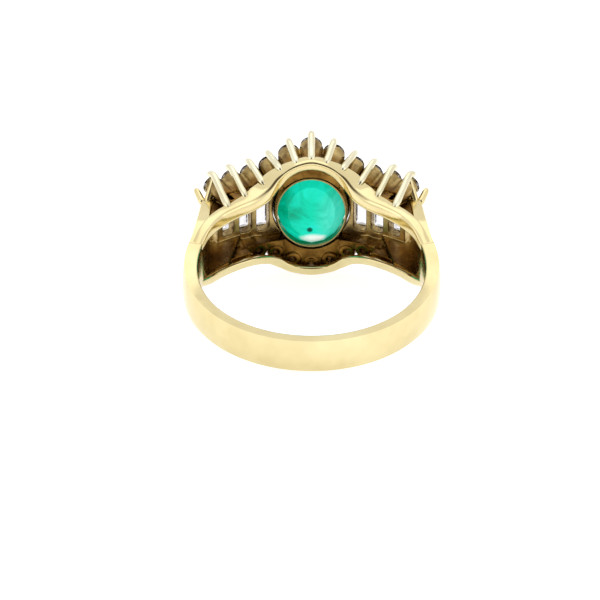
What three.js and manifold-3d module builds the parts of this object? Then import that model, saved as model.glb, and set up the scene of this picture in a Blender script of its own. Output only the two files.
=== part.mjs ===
// A cocktail ring in millimetres: an oval emerald, six baguettes and 22 round stones in a yellow gold setting.
//
// The ring is built in its own frame: the finger hole's axis is Z, its centre is the origin and the head is at +Y.
// The last lines lay it on its side, as it rests on a table: on the edge of its band and the tips of its lower claws.
import * as THREE from "three";
import { ConvexGeometry } from "three/addons/geometries/ConvexGeometry.js";
import { mergeVertices } from "three/addons/utils/BufferGeometryUtils.js";
import Module from "manifold-3d";

const wasm = await Module();
wasm.setup();

// ---- Driving dimensions ----

const FINGER_RADIUS = 8.65; // ring size US 7
const FIT_GAP = 0.02; // between a stone or soldered piece and its neighbour
const SLIVER = 0.008; // edges shorter than this are merged

// Band: angles run from the head's middle round the finger, in degrees.
const BAND_END_ANGLE = 75;
const BAND_TAPER_ANGLE = 130; // the band is plain from here round the back
const BAND_HALF_WIDTH = 1.35;
const BAND_END_HALF_WIDTH = 2.0;
const BAND_EDGE_THICKNESS = 0.84;
const BAND_CROWN = 0.18; // how far the outside bulges past its edges
const BAND_END_EXTRA = 0.2; // thicker by this at the shoulders
const BAND_CHAMFER = 0.1;

// Emerald, and the collet that holds it: a tapered tube with four claws.
const EMERALD_HALF_WIDTH = 3.0;
const EMERALD_HALF_LENGTH = 3.75;
const EMERALD_RISE = 0.25; // its girdle above the girdles of the round stones
const EMERALD_CROWN = 1.0;
const EMERALD_PAVILION = 2.35;
const COLLET_CLEARANCE = 0.9; // its foot over the finger hole
const COLLET_WALL = 0.28;
const COLLET_TAPER_X = 0.4; // narrower at the foot by this
const COLLET_TAPER_Z = 0.7;
const EMERALD_CLAW_ANGLE = 41; // from X
const EMERALD_CLAW_RADIUS = 0.24;
const EMERALD_CLAW_RISE = 0.42;

// Head: the girdles of the round stones lie on a shallow cylinder.
const HEAD_RADIUS = 13.5;
const HEAD_RISE = 3.1; // over the finger hole, at the middle
const PLATE_TOP = 0.15; // below the girdles
const PLATE_THICKNESS = 1.0;
const SEAT_DEPTH = 2.35; // of the cups under the round stones
const CUP_TOP = 0.32; // rims of the cups below the girdles
const SEAT_WALL = 0.06; // cup outside a girdle
const SEAT_FOOT_RADIUS = 0.62;
const ROUND_HOLE_RADIUS = 0.27;
const ROW_WALL_GAP = 0.25; // from the first baguette to the wall that joins the outer cups of a row
const ROW_WALL_THICKNESS = 0.95;
const GUSSET_SPAN = [0.88, 0.96]; // along the rail, of the wall that closes the corner at an arm
const GUSSET_THICKNESS = 0.35;
const GUSSET_SLOT = 0.05; // between it and the arm
const FLOOR_THICKNESS = 0.5; // of the plate round the feet of a row's cups
const FLOOR_WIDTH = 0.75;
const HALO_RIM = 1.25; // the oval plate round the feet of the middle cups, outside the collet
const HALO_TOP_RIM = 0.6;
const HALO_THICKNESS = 1.2;

// Baguettes, three on each side of the emerald
const BAGUETTE_HALF_LENGTHS = [2.1, 1.95, 1.8];
const BAGUETTE_WIDTH = 1.36;
const BAGUETTE_SPACING = 0.1; // between neighbours
const BAGUETTE_TO_COLLET = 0.19;
const BAGUETTE_DEPTH = 0.85;
const WINDOW_LEDGE = 0.18; // gold under each edge of a baguette
const WINDOW_CORNER = 0.42;

// Round stones: radii, gaps to what they stand beside, and how far each claw leans outwards from its foot.
const MIDDLE_ROUND_RADIUS = 0.86;
const FLANK_ROUND_RADIUS = 0.8;
const OUTER_ROUND_RADIUS = 0.74;
const MIDDLE_ROUND_INSET = 0.06; // under the collet's rim
const FLANK_ANGLES = [26.43, 50.06]; // round the collet, from the middle stone
const FLANK_REACHES = [0.978, 1.09]; // of the oval through the middle stone
const OUTER_ROUND_GAPS = [0.16, 0.21, 0.3]; // from a baguette's end
const OUTER_ROUND_SHIFTS = [0.73, 0.75, 0.69]; // outwards from a baguette's middle
const CLAW_LEANS = [0, 0.55, 0.86, 1.03, 1.21, 1.31];

// Claws
const CLAW_RADIUS = 0.3;
const CLAW_TIP_RADIUS = 0.27;
const CLAW_RISE = 0.45; // tip above the girdles
const CLAW_BITE = 0.1; // how far a claw stands over its stone's edge
const END_CLAW_RADIUS = 0.3;

// Shoulder arms: the straight outer branches of the fork, up to the ends of the head.
const ARM_TOP_DROP = 0.8; // below the girdles
const ARM_TOP_INSET = 0.21; // inner face inside the last stone's centre
const ARM_TOP_THICKNESS = 1.1;
const ARM_ROW_INSET = 0.44; // half width inside the last stone's centre
const ARM_CHAMFER = 0.16;
const ARM_INNER_BOW = -0.1;
const ARM_OUTER_BOW = 0.016;

// Gallery rails: the wavy inner branches of the fork, along the finger hole.
const RAIL_DEPTH = 0.95; // at the middle arch
const RAIL_WING_DEPTH = 1.4; // beside the arch
const RAIL_END_DEPTH = 0.85; // at the fork
const RAIL_INNER_DEPTH = 0.45; // of the side that faces the other rail
const RAIL_CHAMFER = 0.2;
const ARCH_TO_COLLET = 1.23; // the arch stands this far outside the collet's foot
const ARCH_HEIGHT = 0.78;
const WING_HEIGHT = 0.94;
const WING_LEAN = 0.42; // the wings' finger side slopes back by this
const CUSP_TO_COLLET = 0.13; // inside the collet's wall, where arch and wing meet

const GOLD = { color: 0xe9c877, metalness: 1, roughness: 0.14 };
const EMERALD_GREEN = { color: 0x12b58a, metalness: 0, roughness: 0.02 };
const CLEAR_STONE = { color: 0xf4f6f8, metalness: 0, roughness: 0.01 };

// ---- Shape helpers ----

const radians = THREE.MathUtils.degToRad;
const smooth = (edge0, edge1, v) => THREE.MathUtils.smoothstep(v, edge0, edge1);

function solidOf(geometry) {
  const bare = geometry.index ? geometry.toNonIndexed() : geometry.clone();
  bare.deleteAttribute("normal");
  bare.deleteAttribute("uv");
  const merged = mergeVertices(bare, 1e-5);
  return new wasm.Manifold(
    new wasm.Mesh({
      numProp: 3,
      vertProperties: new Float32Array(merged.attributes.position.array),
      triVerts: new Uint32Array(merged.index.array),
    }),
  );
}

function geometryOf(solid) {
  const mesh = solid.getMesh();
  const geometry = new THREE.BufferGeometry();
  const stride = mesh.numProp;
  const points = new Float32Array(mesh.numVert * 3);
  for (let i = 0; i < mesh.numVert; i++) {
    points.set(mesh.vertProperties.subarray(i * stride, i * stride + 3), i * 3);
  }
  geometry.setAttribute("position", new THREE.BufferAttribute(points, 3));
  geometry.setIndex(new THREE.BufferAttribute(mesh.triVerts, 1));
  return geometry;
}

// The biggest body of a solid that its cutters split, without slivers.
const mainBody = (solid) =>
  solid.decompose().reduce((a, b) => (b.volume() > a.volume() ? b : a)).simplify(SLIVER);
const joined = (solids) => solids.reduce((whole, piece) => whole.add(piece));
const without = (solid, cutters) => mainBody(cutters.reduce((left, cutter) => left.subtract(cutter), solid));

// A closed skin over loops of points, whichever way they turn.
function loft(loops) {
  const count = loops[0].length;
  const points = loops.flat();
  const faces = [];
  for (let i = 0; i + 1 < loops.length; i++) {
    for (let k = 0; k < count; k++) {
      const a = i * count + k;
      const b = i * count + ((k + 1) % count);
      faces.push(a, b, b + count, a, b + count, a + count);
    }
  }
  const last = (loops.length - 1) * count;
  for (let k = 1; k + 1 < count; k++) {
    faces.push(0, k + 1, k, last, last + k, last + k + 1);
  }
  const skin = (indices) => solidOf(new THREE.BufferGeometry().setFromPoints(points).setIndex(indices));
  const solid = skin(faces);
  return solid.volume() > 0 ? solid : skin(faces.reverse());
}

// The two mirror planes of the head: side -1 is the left half, row -1 is the lower half.
function mirrored(solid, side, row) {
  return side === 1 && row === 1 ? solid : solid.scale([side, 1, row]);
}

const onFinger = (radius, angle, z) =>
  new THREE.Vector3(radius * Math.sin(angle), radius * Math.cos(angle), z);

// ---- The head's cylinder ----

const headTopY = FINGER_RADIUS + HEAD_RISE;
const headAxisY = headTopY - HEAD_RADIUS;
const headTilt = (x) => Math.asin(x / HEAD_RADIUS);

// The point a given height above the girdles, over x at girdle height.
function onHead(x, height, z) {
  const tilt = headTilt(x);
  const reach = HEAD_RADIUS + height;
  return new THREE.Vector3(reach * Math.sin(tilt), headAxisY + reach * Math.cos(tilt), z);
}

// Moves a solid from the origin, with +Y up, to a place on the head.
function placedOnHead(geometry, x, height, z) {
  const at = onHead(x, height, z);
  return geometry.rotateZ(-headTilt(x)).translate(at.x, at.y, at.z);
}

// ---- Stones ----

const emeraldGirdleY = headTopY + EMERALD_RISE;

const firstBaguetteX = EMERALD_HALF_WIDTH + COLLET_WALL + BAGUETTE_TO_COLLET + BAGUETTE_WIDTH / 2;
const baguettePitch = BAGUETTE_WIDTH + BAGUETTE_SPACING;
const baguettePlaces = BAGUETTE_HALF_LENGTHS.map((halfLength, k) => (
  { x: firstBaguetteX + k * baguettePitch, halfLength }));

// Round stones of one quarter of the head, from the middle outwards: x along the head, z across it, and radius.
// The first three stand round the collet and the others in a row along the ends of the baguettes.
const haloX = EMERALD_HALF_WIDTH + COLLET_WALL - MIDDLE_ROUND_INSET + FLANK_ROUND_RADIUS;
const haloZ = EMERALD_HALF_LENGTH + COLLET_WALL - MIDDLE_ROUND_INSET + MIDDLE_ROUND_RADIUS;
const flankPlaces = FLANK_ANGLES.map((angle, k) => ({
  x: FLANK_REACHES[k] * haloX * Math.sin(radians(angle)),
  z: FLANK_REACHES[k] * haloZ * Math.cos(radians(angle)),
}));
const roundPlaces = [
  { x: 0, z: haloZ, radius: MIDDLE_ROUND_RADIUS },
  { ...flankPlaces[0], radius: MIDDLE_ROUND_RADIUS },
  { ...flankPlaces[1], radius: FLANK_ROUND_RADIUS },
  ...baguettePlaces.map(({ x, halfLength }, k) => ({
    x: x + OUTER_ROUND_SHIFTS[k],
    z: halfLength + OUTER_ROUND_GAPS[k] + OUTER_ROUND_RADIUS,
    radius: OUTER_ROUND_RADIUS,
  })),
];
const endStone = roundPlaces.at(-1);

function ringOfPoints(count, halfX, halfZ, y, turn = 0) {
  return Array.from({ length: count }, (_, k) => {
    const angle = ((k + turn) * 2 * Math.PI) / count;
    return new THREE.Vector3(halfX * Math.cos(angle), y, halfZ * Math.sin(angle));
  });
}

// A brilliant: table, star points, girdle, lower halves and culet, each a share of the radius.
function brilliant(radius) {
  return new ConvexGeometry([
    ...ringOfPoints(8, 0.56 * radius, 0.56 * radius, 0.32 * radius),
    ...ringOfPoints(8, 0.82 * radius, 0.82 * radius, 0.18 * radius, 0.5),
    ...ringOfPoints(16, radius, radius, 0),
    ...ringOfPoints(8, 0.26 * radius, 0.26 * radius, -0.66 * radius, 0.5),
    new THREE.Vector3(0, -0.86 * radius, 0),
  ]);
}

const corners = (halfX, halfZ, y) =>
  [-1, 1].flatMap((i) => [-1, 1].map((k) => new THREE.Vector3(i * halfX, y, k * halfZ)));

// A step-cut rectangle: table, crown step, girdle, pavilion step and keel.
function baguette(halfWidth, halfLength) {
  return new ConvexGeometry([
    ...corners(halfWidth - 0.3, halfLength - 0.3, 0.22),
    ...corners(halfWidth - 0.12, halfLength - 0.12, 0.13),
    ...corners(halfWidth, halfLength, 0),
    ...corners(halfWidth - 0.26, halfLength - 0.26, 0.22 - 0.6 * BAGUETTE_DEPTH),
    ...corners(0.06, halfLength - 0.62, 0.22 - BAGUETTE_DEPTH),
  ]);
}

// The emerald is an oval with a step-cut crown and a deep, bellied pavilion. It can grow by a gap on every side.
function emerald(grow = 0) {
  const steps = [
    [0.62, EMERALD_CROWN, 0],
    [0.86, 0.6 * EMERALD_CROWN, 0.5],
    [1, 0.05, 0],
    [1, -0.05, 0],
    [0.95, -0.4 * EMERALD_PAVILION, 0.5],
    [0.86, -0.75 * EMERALD_PAVILION, 0],
    [0.62, -EMERALD_PAVILION, 0.5],
  ];
  const points = steps.flatMap(([share, y, turn]) => ringOfPoints(
    16, share * EMERALD_HALF_WIDTH + grow, share * EMERALD_HALF_LENGTH + grow, y + Math.sign(y) * grow, turn));
  return new ConvexGeometry(points).translate(0, emeraldGirdleY, 0);
}

const roundAt = (place, grow = 0) =>
  placedOnHead(brilliant(place.radius + grow), place.x, 0, place.z);

const baguetteAt = ({ x, halfLength }) =>
  placedOnHead(baguette(BAGUETTE_WIDTH / 2, halfLength), x, 0.05, 0);

// ---- Band ----

// Half the width and the outer radius at an angle from the head, in degrees.
function bandSize(angle) {
  const fromHead = Math.min(angle, 360 - angle);
  const towardsHead = THREE.MathUtils.clamp(
    (BAND_TAPER_ANGLE - fromHead) / (BAND_TAPER_ANGLE - BAND_END_ANGLE), 0, 1);
  return {
    halfWidth: THREE.MathUtils.lerp(BAND_HALF_WIDTH, BAND_END_HALF_WIDTH, towardsHead ** 2),
    edge: FINGER_RADIUS + BAND_EDGE_THICKNESS + BAND_END_EXTRA * smooth(0, 1, towardsHead),
  };
}

function band() {
  const steps = 48;
  const loops = [];
  for (let i = 0; i <= steps; i++) {
    const angle = THREE.MathUtils.lerp(BAND_END_ANGLE, 360 - BAND_END_ANGLE, i / steps);
    const { halfWidth, edge } = bandSize(angle);
    const section = [
      [FINGER_RADIUS, BAND_CHAMFER - halfWidth],
      [FINGER_RADIUS, halfWidth - BAND_CHAMFER],
      [FINGER_RADIUS + BAND_CHAMFER, halfWidth],
    ];
    for (let k = 0; k <= 5; k++) {
      const turn = (k * Math.PI) / 5;
      section.push([edge + BAND_CROWN * Math.sin(turn), halfWidth * Math.cos(turn)]);
    }
    section.push([FINGER_RADIUS + BAND_CHAMFER, -halfWidth]);
    loops.push(section.map(([r, z]) => onFinger(r, radians(angle), z)));
  }
  return loft(loops);
}

// ---- Shoulder arms ----

// A rectangle with its corners cut off, between two points of the XY plane and across the ring.
function slabLoop(inner, outer, low, high, chamfer) {
  const across = outer.clone().sub(inner);
  const share = chamfer / across.length();
  const at = (t, z) => inner.clone().addScaledVector(across, t).setZ(z);
  return [
    at(0, low + chamfer), at(share, low), at(1 - share, low), at(1, low + chamfer),
    at(1, high - chamfer), at(1 - share, high), at(share, high), at(0, high - chamfer),
  ];
}

const armTopInnerX = endStone.x - ARM_TOP_INSET;
const armTopY = onHead(armTopInnerX + ARM_TOP_THICKNESS / 2, 0, 0).y - ARM_TOP_DROP;
const armTopHalfWidth = endStone.z - ARM_ROW_INSET;

// One face of an arm: a curve that leaves the straight line from foot to top by a bow.
function armFace(foot, top, share, bow) {
  const knee = foot.clone().lerp(top, share);
  return new THREE.QuadraticBezierCurve3(foot, knee.setX(knee.x + bow), top);
}

// A point within the arm, half way up its inner face.
function armMiddle() {
  const foot = onFinger(FINGER_RADIUS, radians(BAND_END_ANGLE), 0);
  const face = armFace(foot, new THREE.Vector3(armTopInnerX, armTopY, 0), 0.343, ARM_INNER_BOW);
  return face.getPoint(0.5).add(new THREE.Vector3(ARM_TOP_THICKNESS / 3, 0, 0));
}

function shoulderArm(endClaws) {
  const foot = radians(BAND_END_ANGLE);
  const { edge } = bandSize(BAND_END_ANGLE);
  const topInner = new THREE.Vector3(armTopInnerX, armTopY, 0);
  const topOuter = topInner.clone().setX(armTopInnerX + ARM_TOP_THICKNESS);
  const inside = armFace(onFinger(FINGER_RADIUS, foot, 0), topInner, 0.343, ARM_INNER_BOW);
  const outside = armFace(onFinger(edge + 0.9 * BAND_CROWN, foot, 0), topOuter, 0.43, ARM_OUTER_BOW);
  const steps = 10;
  const loops = [];
  for (let i = 0; i <= steps; i++) {
    const t = i / steps;
    const halfWidth = THREE.MathUtils.lerp(BAND_END_HALF_WIDTH, armTopHalfWidth, smooth(0, 0.6, t));
    loops.push(slabLoop(inside.getPoint(t), outside.getPoint(t), -halfWidth, halfWidth, ARM_CHAMFER));
  }
  return joined([loft(loops), ...endClaws]);
}

// ---- Gallery rails ----

// The finger side of the upper rail from the middle to the fork: x, how far it runs inside the finger hole's
// circle, and z of its inner and outer edges. It keeps to the circle over the middle arch, then runs straighter.
const forkX = FINGER_RADIUS * Math.sin(radians(BAND_END_ANGLE));
const cuspX = EMERALD_HALF_WIDTH - COLLET_TAPER_X + COLLET_WALL - CUSP_TO_COLLET;
const towardsFork = (share) => THREE.MathUtils.lerp(cuspX, forkX, share);
const archInnerZ = EMERALD_HALF_LENGTH - COLLET_TAPER_Z + COLLET_WALL + ARCH_TO_COLLET;
const archOuterZ = archInnerZ + ARCH_HEIGHT;
const wingInnerZ = BAGUETTE_HALF_LENGTHS[0];
const wingOuterZ = wingInnerZ + WING_HEIGHT;
const railStations = [
  [0, 0.02, archInnerZ, archOuterZ],
  [0.33 * cuspX, 0.042, archInnerZ - 0.14, archOuterZ - 0.17],
  [0.62 * cuspX, 0.09, archInnerZ - 0.6, archOuterZ - 0.5],
  [0.88 * cuspX, 0.185, archInnerZ - 1.35, archOuterZ - 1.02],
  [cuspX + 0.4, 0.556, wingInnerZ + 0.5, wingOuterZ + 0.62],
  [towardsFork(0.2587), 0.822, wingInnerZ + 0.14, wingOuterZ + 0.16],
  [towardsFork(0.4906), 0.796, wingInnerZ, wingOuterZ + 0.02],
  [towardsFork(0.7047), 0.621, wingInnerZ - 0.12, wingOuterZ - 0.06],
  [towardsFork(0.8742), 0.417, wingInnerZ - 0.3, wingOuterZ - 0.3],
  [forkX, 0, BAND_END_HALF_WIDTH - 0.7, BAND_END_HALF_WIDTH],
].map(([x, inset, inner, outer]) => [x, Math.sqrt(FINGER_RADIUS ** 2 - x ** 2) - inset, inner, outer]);

// A line along the rail, from the left fork to the right one.
function railLine(toPoint) {
  const half = railStations.map(toPoint);
  const left = half.slice(1).map((p) => new THREE.Vector3(-p.x, p.y, p.z)).reverse();
  return new THREE.CatmullRomCurve3([...left, ...half]);
}

const railLean = (x) => (WING_LEAN / 2) * smooth(0.6 * cuspX, cuspX + 0.6, x) * smooth(forkX, towardsFork(0.76), x);
const railInner = railLine(([x, y, inner]) => new THREE.Vector3(x, y - railLean(x), inner));
const railOuter = railLine(([x, y, , outer]) => new THREE.Vector3(x, y + railLean(x), outer));

const railDepth = (x) =>
  RAIL_DEPTH + (RAIL_WING_DEPTH - RAIL_DEPTH) * smooth(0.4 * cuspX, cuspX + 0.5, x) +
  (RAIL_END_DEPTH - RAIL_WING_DEPTH) * smooth(cuspX + 1, towardsFork(0.58), x);

// Away from the finger, square to the rail.
function railBack(t) {
  const along = railInner.getTangent(t).setZ(0).normalize();
  return new THREE.Vector3(-along.y, along.x, 0);
}

function galleryRail() {
  const steps = 38;
  const loops = [];
  for (let i = 0; i <= steps; i++) {
    const inner = railInner.getPoint(i / steps);
    const outer = railOuter.getPoint(i / steps);
    const back = railBack(i / steps);
    const full = railDepth(Math.abs(inner.x));
    const height = inner.distanceTo(outer);
    const section = [
      [0, RAIL_CHAMFER], [RAIL_CHAMFER, 0], [RAIL_INNER_DEPTH, 0], [full, 0.6 * height],
      [full, height - RAIL_CHAMFER], [full - RAIL_CHAMFER, height], [RAIL_CHAMFER, height],
      [0, height - RAIL_CHAMFER],
    ];
    loops.push(section.map(([depth, up]) =>
      inner.clone().lerp(outer, up / height).addScaledVector(back, depth)));
  }
  return loft(loops);
}

// ---- Claws ----

// A round wire from foot to tip that thins towards a rounded point.
function wire(points, footRadius, tipRadius) {
  const path = new THREE.CatmullRomCurve3(points);
  const sides = 6;
  const steps = 4;
  const stations = Array.from({ length: steps + 1 }, (_, i) => ({ t: i / steps, past: 0, share: 1 }));
  stations.push({ t: 1, past: 0.55, share: 0.8 }, { t: 1, past: 0.95, share: 0.3 });
  const loops = stations.map(({ t, past, share }) => {
    const along = path.getTangent(t);
    const across = new THREE.Vector3(1, 0, 0).addScaledVector(along, -along.x).normalize();
    const aside = along.clone().cross(across);
    const radius = THREE.MathUtils.lerp(footRadius, tipRadius, t) * share;
    const centre = path.getPoint(t).addScaledVector(along, past * tipRadius);
    return Array.from({ length: sides }, (_, k) => {
      const turn = ((k + 0.5) * 2 * Math.PI) / sides;
      return centre.clone()
        .addScaledVector(across, radius * Math.cos(turn))
        .addScaledVector(aside, radius * Math.sin(turn));
    });
  });
  return loft(loops);
}

// The point of the upper rail's outer face, near its back, at an x.
function railTopAt(x) {
  const top = (t) => {
    const outer = railOuter.getPoint(t);
    return outer.addScaledVector(railBack(t), 0.82 * railDepth(outer.x));
  };
  let low = 0.5;
  let high = 1;
  for (let i = 0; i < 30; i++) {
    const middle = (low + high) / 2;
    if (top(middle).x < x) low = middle;
    else high = middle;
  }
  const foot = top(low);
  return foot.setZ(foot.z - 0.1);
}

// Each claw rises from the rail, past its stone's cup, and over the outermost point of the stone.
function clawWire({ x, z, radius }, k) {
  const foot = railTopAt(x - CLAW_LEANS[k]);
  const outside = z + radius + CLAW_RADIUS;
  const beside = onHead(x, -0.3, outside);
  const tip = onHead(x, CLAW_RISE - CLAW_TIP_RADIUS, outside - CLAW_BITE);
  return wire([foot, foot.clone().lerp(beside, 0.5), beside, tip], CLAW_RADIUS, CLAW_TIP_RADIUS);
}

// Two wires grow from each corner of a shoulder arm: one up the outermost claw, one round the last stone's end.
function armClaws() {
  const { x, z, radius } = endStone;
  const foot = new THREE.Vector3(
    armTopInnerX + ARM_TOP_THICKNESS / 2, armTopY - 0.6, armTopHalfWidth - END_CLAW_RADIUS);
  const side = foot.clone().setX(foot.x + ARM_TOP_THICKNESS / 2 - END_CLAW_RADIUS);
  const claw = onHead(x, -0.45, z + radius + 0.1);
  const end = onHead(x + radius + 0.85 * END_CLAW_RADIUS, 0.1, z - 0.25);
  return [[foot, claw], [side, end]].map(([from, to]) =>
    wire([from, from.clone().lerp(to, 0.5), to], END_CLAW_RADIUS, 0.85 * END_CLAW_RADIUS));
}

// ---- Collet ----

// An oval frustum between two heights. Half sizes at the foot and at the top.
function ovalCone(foot, top) {
  return loft([foot, top].map(({ y, halfX, halfZ }) => ringOfPoints(28, halfX, halfZ, y).reverse()));
}

const colletFootY = FINGER_RADIUS + COLLET_CLEARANCE;
const colletTopY = emeraldGirdleY - 0.1;

// Half sizes of the collet's inside at a height, plus an offset.
function colletHalf(y, offset) {
  const narrower = (colletTopY - y) / (colletTopY - colletFootY);
  return {
    y,
    halfX: EMERALD_HALF_WIDTH - COLLET_TAPER_X * narrower + offset,
    halfZ: EMERALD_HALF_LENGTH - COLLET_TAPER_Z * narrower + offset,
  };
}

// The collet's inside, grown by an offset, from a little below its foot or from further down.
const colletSpace = (offset, below = 0.01) =>
  ovalCone(colletHalf(colletFootY - below, offset), colletHalf(colletTopY + 0.01, offset));

function emeraldClaw(side, row) {
  const angle = radians(EMERALD_CLAW_ANGLE);
  const at = (y, offset) => {
    const { halfX, halfZ } = colletHalf(y, offset);
    return new THREE.Vector3(side * halfX * Math.cos(angle), y, row * halfZ * Math.sin(angle));
  };
  return wire(
    [at(colletFootY + 0.9, COLLET_WALL - 0.1), at(emeraldGirdleY - 0.3, COLLET_WALL - 0.02),
      at(emeraldGirdleY + 0.15, COLLET_WALL - 0.06), at(emeraldGirdleY + EMERALD_CLAW_RISE, 0)],
    EMERALD_CLAW_RADIUS, 0.8 * EMERALD_CLAW_RADIUS);
}

function collet() {
  const outside = ovalCone(colletHalf(colletFootY, COLLET_WALL), colletHalf(colletTopY, COLLET_WALL));
  const claws = [-1, 1].flatMap((side) => [-1, 1].map((row) => emeraldClaw(side, row)));
  return without(joined([outside, ...claws]), [colletSpace(0), solidOf(emerald(FIT_GAP)), ...everyStoneSpace]);
}

// ---- Plates under the stones ----

// Part of the head's shell between two x, from one depth under the girdles to another.
function shell(fromX, toX, top, bottom, fromZ, toZ) {
  const [from, to] = [headTilt(fromX), headTilt(toX)];
  const steps = 5;
  const arc = (reach) => Array.from({ length: steps + 1 }, (_, i) => {
    const tilt = THREE.MathUtils.lerp(from, to, i / steps);
    return new THREE.Vector2(reach * Math.sin(tilt), headAxisY + reach * Math.cos(tilt));
  });
  const outline = [...arc(HEAD_RADIUS - bottom), ...arc(HEAD_RADIUS - top).reverse()];
  const geometry = new THREE.ExtrudeGeometry(
    new THREE.Shape(outline), { depth: toZ - fromZ, bevelEnabled: false });
  return solidOf(geometry.translate(0, 0, fromZ));
}

// The cup that carries one round stone, and the space inside it: a cone for the stone over a narrow hole.
function seatCup(place) {
  const geometry = new THREE.CylinderGeometry(place.radius + SEAT_WALL, SEAT_FOOT_RADIUS, SEAT_DEPTH - CUP_TOP, 12);
  return solidOf(placedOnHead(geometry, place.x, -(SEAT_DEPTH + CUP_TOP) / 2, place.z));
}

function seatHole(place) {
  const cone = new THREE.CylinderGeometry(place.radius + 0.03, ROUND_HOLE_RADIUS, 0.8, 8);
  const hole = new THREE.CylinderGeometry(ROUND_HOLE_RADIUS, ROUND_HOLE_RADIUS, SEAT_DEPTH, 8);
  return solidOf(placedOnHead(cone, place.x, -0.4, place.z)).add(
    solidOf(placedOnHead(hole, place.x, -0.6 - SEAT_DEPTH / 2, place.z)));
}

// The space of one baguette, over a window with rounded corners right through the web.
function windowHole({ x, halfLength }) {
  const seat = new THREE.BoxGeometry(BAGUETTE_WIDTH + 2 * FIT_GAP, 1.2, 2 * (halfLength + FIT_GAP));
  const cornerX = BAGUETTE_WIDTH / 2 - WINDOW_LEDGE - WINDOW_CORNER;
  const cornerZ = halfLength - WINDOW_LEDGE - WINDOW_CORNER;
  const outline = new THREE.Shape();
  [[1, 1], [-1, 1], [-1, -1], [1, -1]].forEach(([i, k], quarter) => {
    const from = (quarter * Math.PI) / 2;
    outline.absarc(i * cornerX, k * cornerZ, WINDOW_CORNER, from, from + Math.PI / 2);
  });
  const depth = 4;
  const through = new THREE.ExtrudeGeometry(outline, { depth, bevelEnabled: false, curveSegments: 2 })
    .translate(0, 0, -depth / 2).rotateX(Math.PI / 2);
  return solidOf(placedOnHead(seat, x, 0.17, 0)).add(solidOf(placedOnHead(through, x, -1, 0)));
}

// ---- The pieces ----

const sides = [["left", -1], ["right", 1]];
const rows = [["upper", 1], ["lower", -1]];
const onSides = (solids) => solids.flatMap((solid) => [solid, mirrored(solid, -1, 1)]);
const onRows = (solids) => solids.flatMap((solid) => [solid, mirrored(solid, 1, -1)]);

const stoneSpaces = roundPlaces.map((place) => solidOf(roundAt(place, FIT_GAP)));
const everyStoneSpace = onRows(onSides(stoneSpaces));
const colletOutside = colletSpace(COLLET_WALL + FIT_GAP, COLLET_CLEARANCE);
const emeraldClaws = [-1, 1].flatMap((side) => [-1, 1].map((row) => emeraldClaw(side, row)));

// Each piece gives way to the ones soldered before it: rails, arms, claws, then the seats between them.
const bareArm = shoulderArm([]);
const rail = without(galleryRail(), [...onSides([bareArm]), colletOutside]);
const clawWires = roundPlaces.map(clawWire);
const arm = without(
  shoulderArm(onRows(armClaws())), onRows([stoneSpaces.at(-1), clawWires.at(-1), rail]));
const claws = clawWires.map((claw, k) => without(claw, [rail, arm, stoneSpaces[k]]));

const rowWallFromZ = BAGUETTE_HALF_LENGTHS[0] + ROW_WALL_GAP;

// The cups of the middle stones on an oval plate round the collet, with the middle claw.
function haloSeats() {
  const places = roundPlaces.slice(0, 3);
  const oval = (y, rim) => ({
    y,
    halfX: EMERALD_HALF_WIDTH + COLLET_WALL + rim,
    halfZ: EMERALD_HALF_LENGTH + COLLET_WALL + rim,
  });
  const plateY = headTopY - SEAT_DEPTH + 0.1;
  const plate = ovalCone(oval(plateY, HALO_RIM), oval(plateY + HALO_THICKNESS, HALO_TOP_RIM));
  const reach = 2 * haloZ + 2 * HALO_RIM;
  const lowerPart = solidOf(
    new THREE.BoxGeometry(reach, reach, reach).translate(0, headTopY, rowWallFromZ + 0.1 - reach / 2));
  const cups = without(joined([plate.subtract(lowerPart), ...onSides(places.map(seatCup))]), [
    ...onSides([...places.map(seatHole), ...stoneSpaces.slice(0, 4), ...clawWires.slice(1)]),
    colletOutside, ...emeraldClaws, rail,
  ]);
  return joined([cups, claws[0]]);
}

// The gusset that closes the corner between the web, the rail and the arm.
function gusset() {
  const steps = 8;
  const along = Array.from({ length: steps + 1 }, (_, i) => THREE.MathUtils.lerp(...GUSSET_SPAN, i / steps));
  const underRail = along.map((t) => railInner.getPoint(t).addScaledVector(railBack(t), 0.5 * RAIL_END_DEPTH));
  const [from, to] = [baguettePlaces.at(-1).x - BAGUETTE_WIDTH, endStone.x + 0.3];
  const underWeb = [to, from].map((x) => onHead(x, -PLATE_TOP - PLATE_THICKNESS / 2, 0));
  const insideArm = armMiddle();
  const outline = [...underRail, insideArm, ...underWeb].map(({ x, y }) => new THREE.Vector2(x, y));
  const fromZ = armTopHalfWidth - ARM_CHAMFER - GUSSET_THICKNESS;
  const geometry = new THREE.ExtrudeGeometry(
    new THREE.Shape(outline), { depth: GUSSET_THICKNESS, bevelEnabled: false });
  const arms = [bareArm, bareArm.translate([-GUSSET_SLOT, 0, 0])];
  return without(solidOf(geometry.translate(0, 0, fromZ)), [...arms, rail]);
}

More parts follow.
